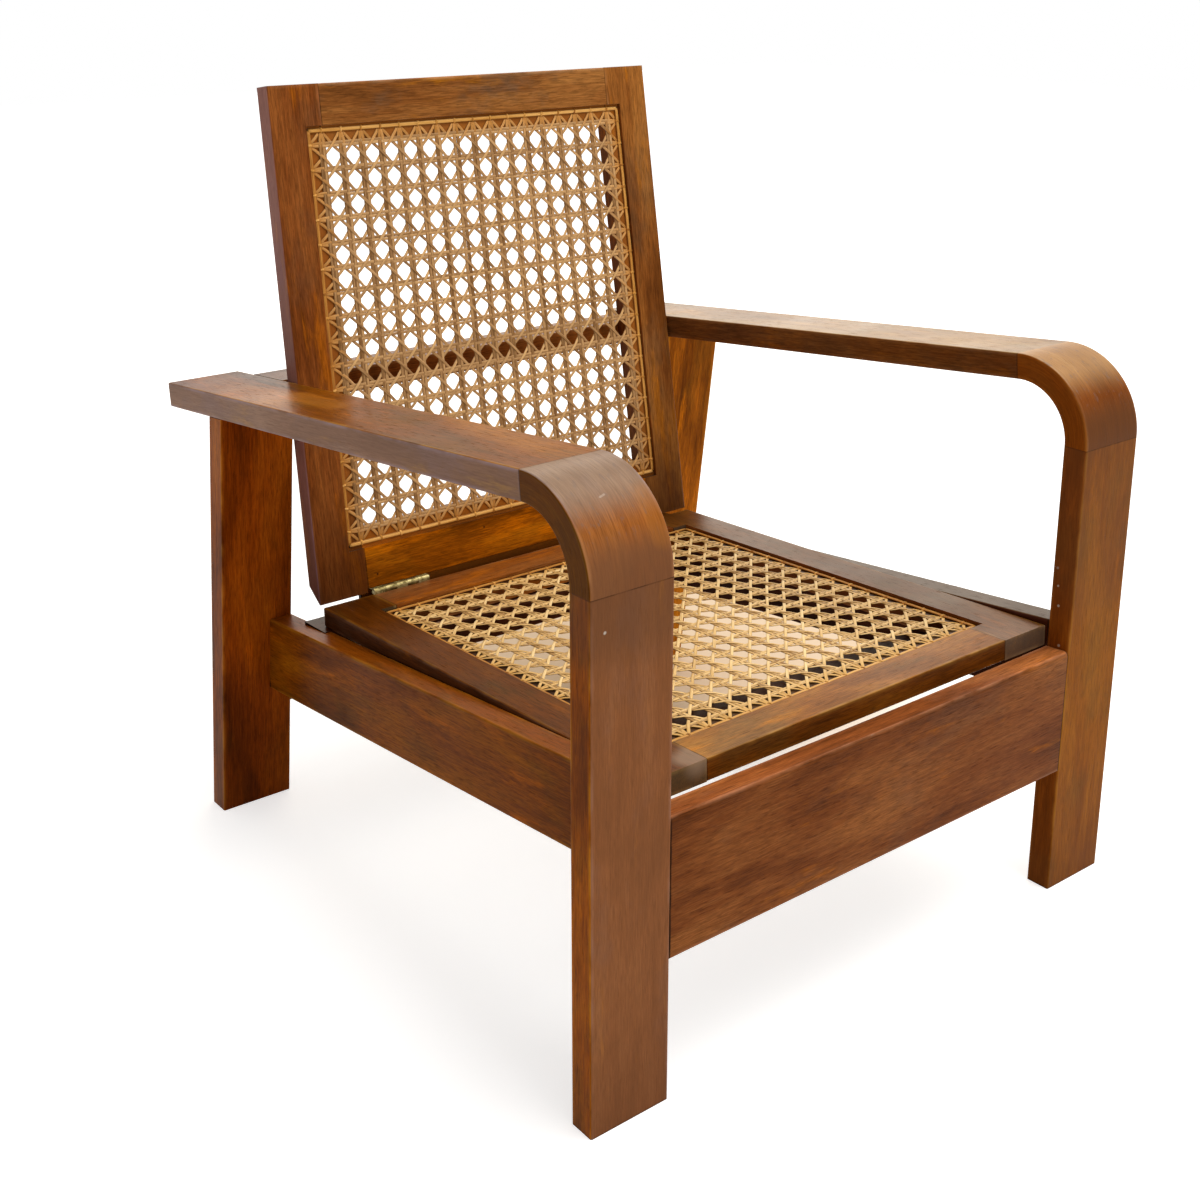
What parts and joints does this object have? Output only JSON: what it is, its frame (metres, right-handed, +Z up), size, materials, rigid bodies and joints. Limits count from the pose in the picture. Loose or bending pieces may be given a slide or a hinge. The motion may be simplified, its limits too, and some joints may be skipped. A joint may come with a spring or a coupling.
{
  "type": "planters chair",
  "caption": "Low armchair of flat hardwood boards with bent arm corners, a cane seat that slides forward and a hinged cane back that reclines against a rear bar.",
  "frame": {"origin": "on the floor under the middle of the chair's bounding box", "axes": "+Z up, -Y the way the sitter faces, +X to the sitter's left"},
  "size_m": [0.68, 0.7378, 0.7992],
  "materials": {
    "frame_wood": "satin varnish, reddish brown hardwood",
    "seat_wood": "satin varnish, reddish brown hardwood",
    "back_wood": "satin varnish, reddish brown hardwood",
    "pegs": "bare hardwood",
    "woven_cane": "natural cane, light gloss",
    "binding_cane": "natural cane, light gloss",
    "brass": "dull brass",
    "brass_screws": "dull brass"
  },
  "bodies": {
    "frame": {"back_rest_bar": "frame_wood", "front_rail": "frame_wood", "front_seat_bearer": "frame_wood", "left_arm": "frame_wood", "left_arm_corner": "frame_wood", "left_corner_dowels": "pegs", "left_front_leg": "frame_wood", "left_rear_leg": "frame_wood", "left_side_rail": "frame_wood", "rear_seat_bearer": "frame_wood", "rear_stretcher": "frame_wood", "right_arm": "frame_wood", "right_arm_corner": "frame_wood", "right_corner_dowels": "pegs", "right_front_leg": "frame_wood", "right_rear_leg": "frame_wood", "right_side_rail": "frame_wood"},
    "seat": {"left_seat_hinge_leaf": "brass", "left_seat_stile": "seat_wood", "right_seat_hinge_leaf": "brass", "right_seat_stile": "seat_wood", "seat_cane": "woven_cane", "seat_cane_binding": "binding_cane", "seat_front_rail": "seat_wood", "seat_hinge_screws": "brass_screws", "seat_rear_rail": "seat_wood"},
    "hinge_pins": {"left_hinge_pin": "brass", "right_hinge_pin": "brass"},
    "back": {"back_bottom_rail": "back_wood", "back_cane": "woven_cane", "back_cane_binding": "binding_cane", "back_hinge_screws": "brass_screws", "back_top_rail": "back_wood", "left_back_hinge_leaf": "brass", "left_back_stile": "back_wood", "right_back_hinge_leaf": "brass", "right_back_stile": "back_wood"}
  },
  "joints": [
    {"name": "seat_slide", "type": "slide", "parent": "frame", "child": "hinge_pins", "axis": [0, -0.9988, 0.0499], "range_m": [0, 0.1]},
    {"name": "seat_lift", "type": "hinge", "parent": "hinge_pins", "child": "seat", "pos_m": [0, 0.20383, 0.26163], "axis": [-1, 0, 0], "range_deg": [0, 95]},
    {"name": "back_recline", "type": "hinge", "parent": "hinge_pins", "child": "back", "pos_m": [0, 0.20383, 0.26163], "axis": [-1, 0, 0], "range_deg": [0, 21.3]}
  ],
  "couplings": [
    {"joint": "back_recline", "follows": "seat_slide", "rad_per_m": 3.7106}
  ]
}
